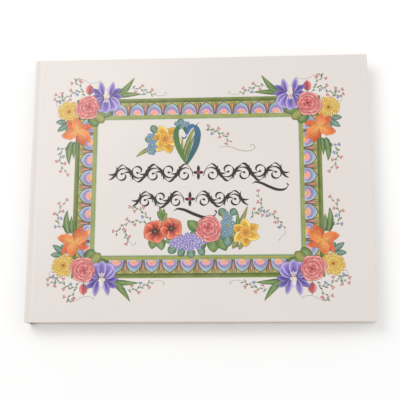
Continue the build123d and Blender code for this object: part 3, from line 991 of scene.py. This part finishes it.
def board_material():
    """Grey binder's board: pressed fibres with darker and lighter flecks."""
    material, tree, shader = new_material("grey board", roughness=0.95)
    place = object_place(tree)
    paper = use_group(tree, PAPER, Vector=place, Colour=tone("a39d93"), Shade=tone("6f6a62"), Amount=0.9)
    flecks = maths(tree, "GREATER_THAN", noise(tree, place, scale=700, detail=2), 0.66)
    flecked = mix(tree, maths(tree, "MULTIPLY", flecks, 0.5), paper.outputs["Colour"], tone("c9c3b6"))
    tree.links.new(flecked, shader.inputs["Base Color"])
    bump(tree, shader, paper.outputs["Height"], strength=0.5, distance=0.1 * MM)
    return material


def cloth_material(name, colour, shade, threads, roughness):
    """Woven cloth or tape: a painted shade darkens the gaps between the threads and leaves the threads lighter,
    over a bump of the weave.
    """
    material, tree, shader = new_material(name, roughness, sheen=0.2)
    place = object_place(tree)
    weave = use_group(tree, WEAVE, Vector=place, Threads=threads)
    uneven = maths(tree, "MULTIPLY", noise(tree, place, scale=300, detail=3), 0.5)
    # painted shade: the shade colour is laid in the gaps between threads, the main colour on the threads
    share = maths(tree, "ADD", maths(tree, "MULTIPLY", weave.outputs["Mask"], 0.6), uneven, clamp=True)
    tree.links.new(mix(tree, share, shade, colour), shader.inputs["Base Color"])
    bump(tree, shader, weave.outputs["Height"], strength=0.5, distance=0.15 * MM)
    return material


def band_material():
    """The silk of the head and tail bands: stripes of two threads wound across the core."""
    material, tree, shader = new_material("two-colour silk band", roughness=0.45, sheen=0.3)
    stripes = 5200
    stripe = maths(tree, "SINE", maths(tree, "MULTIPLY", split(tree, object_place(tree))["Z"], stripes))
    picked = maths(tree, "GREATER_THAN", stripe, 0)
    tree.links.new(mix(tree, picked, tone("e9e4da"), tone("8c9a52")), shader.inputs["Base Color"])
    bump(tree, shader, maths(tree, "ABSOLUTE", stripe), strength=0.6, distance=0.1 * MM)
    return material


def thread_material():
    """Waxed linen thread: a slanting twist along the cord, painted darker in its grooves and lighter on its
    crests as painted shade and painted highlight.
    """
    material, tree, shader = new_material("waxed linen thread", roughness=0.55)
    _, y, z = split(tree, object_place(tree))
    turns = 9000
    along = maths(tree, "ADD", maths(tree, "MULTIPLY", y, turns), maths(tree, "MULTIPLY", z, turns))
    twist = maths(tree, "ABSOLUTE", maths(tree, "SINE", along))
    # painted shade and highlight: the darker tone lies in the grooves of the twist, the lighter tone on its
    # crests
    tree.links.new(mix(tree, twist, tone("b9ad94"), tone("efe8d8")), shader.inputs["Base Color"])
    bump(tree, shader, twist, strength=0.6, distance=GRAIN)
    return material


COVER = cover_material()
INK = ink_material("printed watercolour", 0.85)
PEN = ink_material("printed pen ink", 0.22)
BOARD = board_material()
ENDPAPER = plain_paper_material("endpaper", tone("f5f1ea"), tone("e3ddd2"), amount=0.5, grain=0.15)
KRAFT = plain_paper_material("kraft lining paper", tone("b58d5f"), tone("8a6741"), amount=0.8, grain=0.35)
PAGE = page_material()
# the second colour of each cloth is the painted shade in the gaps between its threads
MULL = cloth_material("open cotton mull", tone("ece6d6"), tone("a39a83"), threads=2600, roughness=0.9)
TAPE = cloth_material("woven linen tape", tone("e3d8bf"), tone("a8997a"), threads=5000, roughness=0.8)
BAND = band_material()
THREAD = thread_material()

FINISHES = {
    "printed_paper": COVER, "grey_board": BOARD, "endpaper": ENDPAPER, "page_paper": PAGE,
    "kraft_paper": KRAFT, "mull_cloth": MULL, "linen_tape": TAPE, "linen_thread": THREAD, "band_silk": BAND,
}


def finish_cad_nodes():
    """Gives every carried-over node the material of its slot."""
    for part in frame["record"]["subparts"]:
        node = NODES[part["node"]]
        for slot in node.material_slots:
            slot.material = FINISHES[part["material_slot"]]


# ---------------------------------------------------------------- bent papers

def bent_sheet(name, profile, half_width, thickness, material):
    """A sheet as wide as the book is high. The profile of (x, z) points runs through its middle."""
    mesh = bmesh.new()
    steps = len(profile) - 1
    grid = bmesh.ops.create_grid(mesh, x_segments=steps, y_segments=8, size=0.5)["verts"]
    for vert in grid:
        x, z = profile[round((vert.co.x + 0.5) * steps)]
        vert.co = (x, 2 * vert.co.y * half_width, z)
    for face in mesh.faces:
        face.smooth = True
    for edge in mesh.edges:
        edge.smooth = not edge.is_boundary
    piece = new_piece(name, mesh, None, material)
    body = piece.modifiers.new("paper thickness", "SOLIDIFY")
    body.thickness = thickness
    body.offset = 0
    return piece


def arc(x, z, radius, first, last, steps):
    """Points along an arc, from the first angle to the last, in degrees."""
    angles = [math.radians(first + (last - first) * k / steps) for k in range(steps + 1)]
    return [(x + radius * math.cos(a), z + radius * math.sin(a)) for a in angles]


def level_run(first, last, z, steps):
    """Points along a straight run at one height, without its first point."""
    return [(first + (last - first) * k / steps, z) for k in range(1, steps + 1)]


def joint_strip(side, facing):
    """The cover paper over one joint, laid in a shallow curve."""
    low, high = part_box(f"{side}_joint_paper")
    surface = high.z if facing > 0 else low.z
    half = (high.x - low.x) / 2
    depth = high.z - low.z - COVER_PAPER
    radius = (half * half + depth * depth) / (2 * depth)
    sweep = math.degrees(math.asin(half / radius))
    middle_z = surface + facing * (radius - depth - COVER_PAPER / 2)
    profile = arc(low.x + half, middle_z, radius, -90 * facing - sweep, -90 * facing + sweep, 40)
    piece = bent_sheet(f"{side}_joint_strip", profile, HALF_HEIGHT, COVER_PAPER, COVER)
    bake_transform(piece)
    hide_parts(f"{side}_joint_paper")


def endpaper_fold(side, facing):
    """The fold of one endpaper, between the cover it is pasted to and its free leaf."""
    low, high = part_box(f"{side}_endpaper_hinge")
    middle_z = (low.z + high.z) / 2
    outer = (high.z - low.z) / 2
    radius = outer - SHEET / 2
    bend_x = low.x + outer
    pasted, free = middle_z + facing * radius, middle_z - facing * radius
    profile = [(high.x, pasted)] + level_run(high.x, bend_x, pasted, 9)
    profile += arc(bend_x, middle_z, radius, 180 - 90 * facing, 180 + 90 * facing, 8)[1:]
    profile += level_run(bend_x, LEAF_X, free, 6)
    piece = bent_sheet(f"{side}_endpaper_fold", profile, PAGE_HALF, SHEET, ENDPAPER)
    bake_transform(piece)
    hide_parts(f"{side}_endpaper_hinge")


def folded_sheet(number):
    """One sheet of the first section: the half that stays, and the fold that bends up to its leaf."""
    middle_z = (section_low.z + section_high.z) / 2
    outer = (section_high.z - section_low.z) / 2
    bend_x = FOLD_X + outer
    radius = outer - PITCH * (number - 1) - SHEET / 2
    lower = arc(bend_x, middle_z, radius, 180, 270, 8) + level_run(bend_x, PAGE_X, middle_z - radius, 24)
    upper = [(LEAF_X, middle_z + radius)] + level_run(LEAF_X, bend_x, middle_z + radius, 12)
    upper += arc(bend_x, middle_z, radius, 90, 180, 8)[1:]
    page = bent_sheet(f"section_1_sheet_{number}", lower, PAGE_HALF, SHEET, PAGE)
    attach(page, BLOCK)
    fold = bent_sheet(f"section_1_fold_{number}", upper, PAGE_HALF, SHEET, PAGE)
    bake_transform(fold)
    for piece in (page, fold):
        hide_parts("section_1")


for side, facing in (("front", 1), ("back", -1)):
    joint_strip(side, facing)
    endpaper_fold(side, facing)
for number in range(1, LOOSE_LEAVES + 1):
    folded_sheet(number)


# ---------------------------------------------------------------- build the object

finish_cad_nodes()

KINDS = ("bands", "arches", "leaves", "sprigs", "lilies", "chrysanthemums", "irises", "roses", "poppies",
         "violets", "daffodils", "scrolls")
INKS = {kind: Ink(LAYER * k / len(KINDS)) for k, kind in enumerate(KINDS)}
lay_bands(INKS["bands"])
lay_arches(INKS["arches"])
for side_x in (-1, 1):
    for side_y in (-1, 1):
        lay_corner(INKS, side_x, side_y)
lay_spray(INKS)
lay_title(INKS)
lay_scrolls(INKS["scrolls"])
for kind, ink in INKS.items():
    ink.finish(f"printed_{kind}", FRONT, PEN if kind == "scrolls" else INK)


# ---------------------------------------------------------------- floor, light and camera

SKY_LIGHT = 0.75
LENS = 81                # millimetres, on a sensor 36 wide


def lay_floor():
    """A wide pale table top."""
    mesh = bmesh.new()
    bmesh.ops.create_grid(mesh, x_segments=1, y_segments=1, size=20)
    data = bpy.data.meshes.new("floor")
    mesh.to_mesh(data)
    mesh.free()
    floor = bpy.data.objects.new("floor", data)
    bpy.context.scene.collection.objects.link(floor)
    material, tree, shader = new_material("pale table", roughness=0.9, specular=0.1)
    clouds = noise(tree, object_place(tree), scale=3, detail=2)
    tree.links.new(mix(tree, clouds, (0.97, 0.97, 0.97), (0.93, 0.93, 0.93)), shader.inputs["Base Color"])
    floor.data.materials.append(material)


def area_light(name, place, target, size, power, colour):
    """A square soft box at place, aimed at target."""
    data = bpy.data.lights.new(name, "AREA")
    data.shape = "SQUARE"
    data.size = size
    data.energy = power
    data.color = colour
    lamp = bpy.data.objects.new(name, data)
    lamp.location = place
    lamp.rotation_euler = (Vector(target) - Vector(place)).to_track_quat("-Z", "Y").to_euler()
    bpy.context.scene.collection.objects.link(lamp)


def set_camera():
    """A long lens above the foot of the book, aimed a little below its middle."""
    data = bpy.data.cameras.new("camera")
    data.sensor_width = 36
    data.lens = LENS
    camera = bpy.data.objects.new("camera", data)
    place = Vector((0.0490, -0.1823, 0.7443))
    target = Vector((0.0009, -0.0127, 0.0175))
    back = (place - target).normalized()
    lean = Vector((0.0121, 0.9739, 0.2265))
    right = lean.cross(back).normalized()
    turned = Matrix((right, back.cross(right), back)).transposed().to_4x4()
    camera.matrix_world = Matrix.Translation(place) @ turned
    bpy.context.scene.collection.objects.link(camera)
    bpy.context.scene.camera = camera


def set_world():
    """An even white studio all round, no brighter than the far end of the table top."""
    world = bpy.data.worlds.new("studio")
    world.use_nodes = True
    background = world.node_tree.nodes["Background"]
    background.inputs["Color"].default_value = (1, 1, 1, 1)
    background.inputs["Strength"].default_value = SKY_LIGHT
    bpy.context.scene.world = world


lay_floor()
area_light("key", place=(-0.7, 0.6, 1.3), target=(0, 0, 0), size=0.9, power=8, colour=(1.0, 0.98, 0.95))
area_light("fill", place=(0.9, 0.1, 1.1), target=(0, 0, 0), size=1.2, power=3, colour=(0.95, 0.97, 1.0))
set_camera()
set_world()
bpy.context.scene.view_settings.view_transform = "Standard"
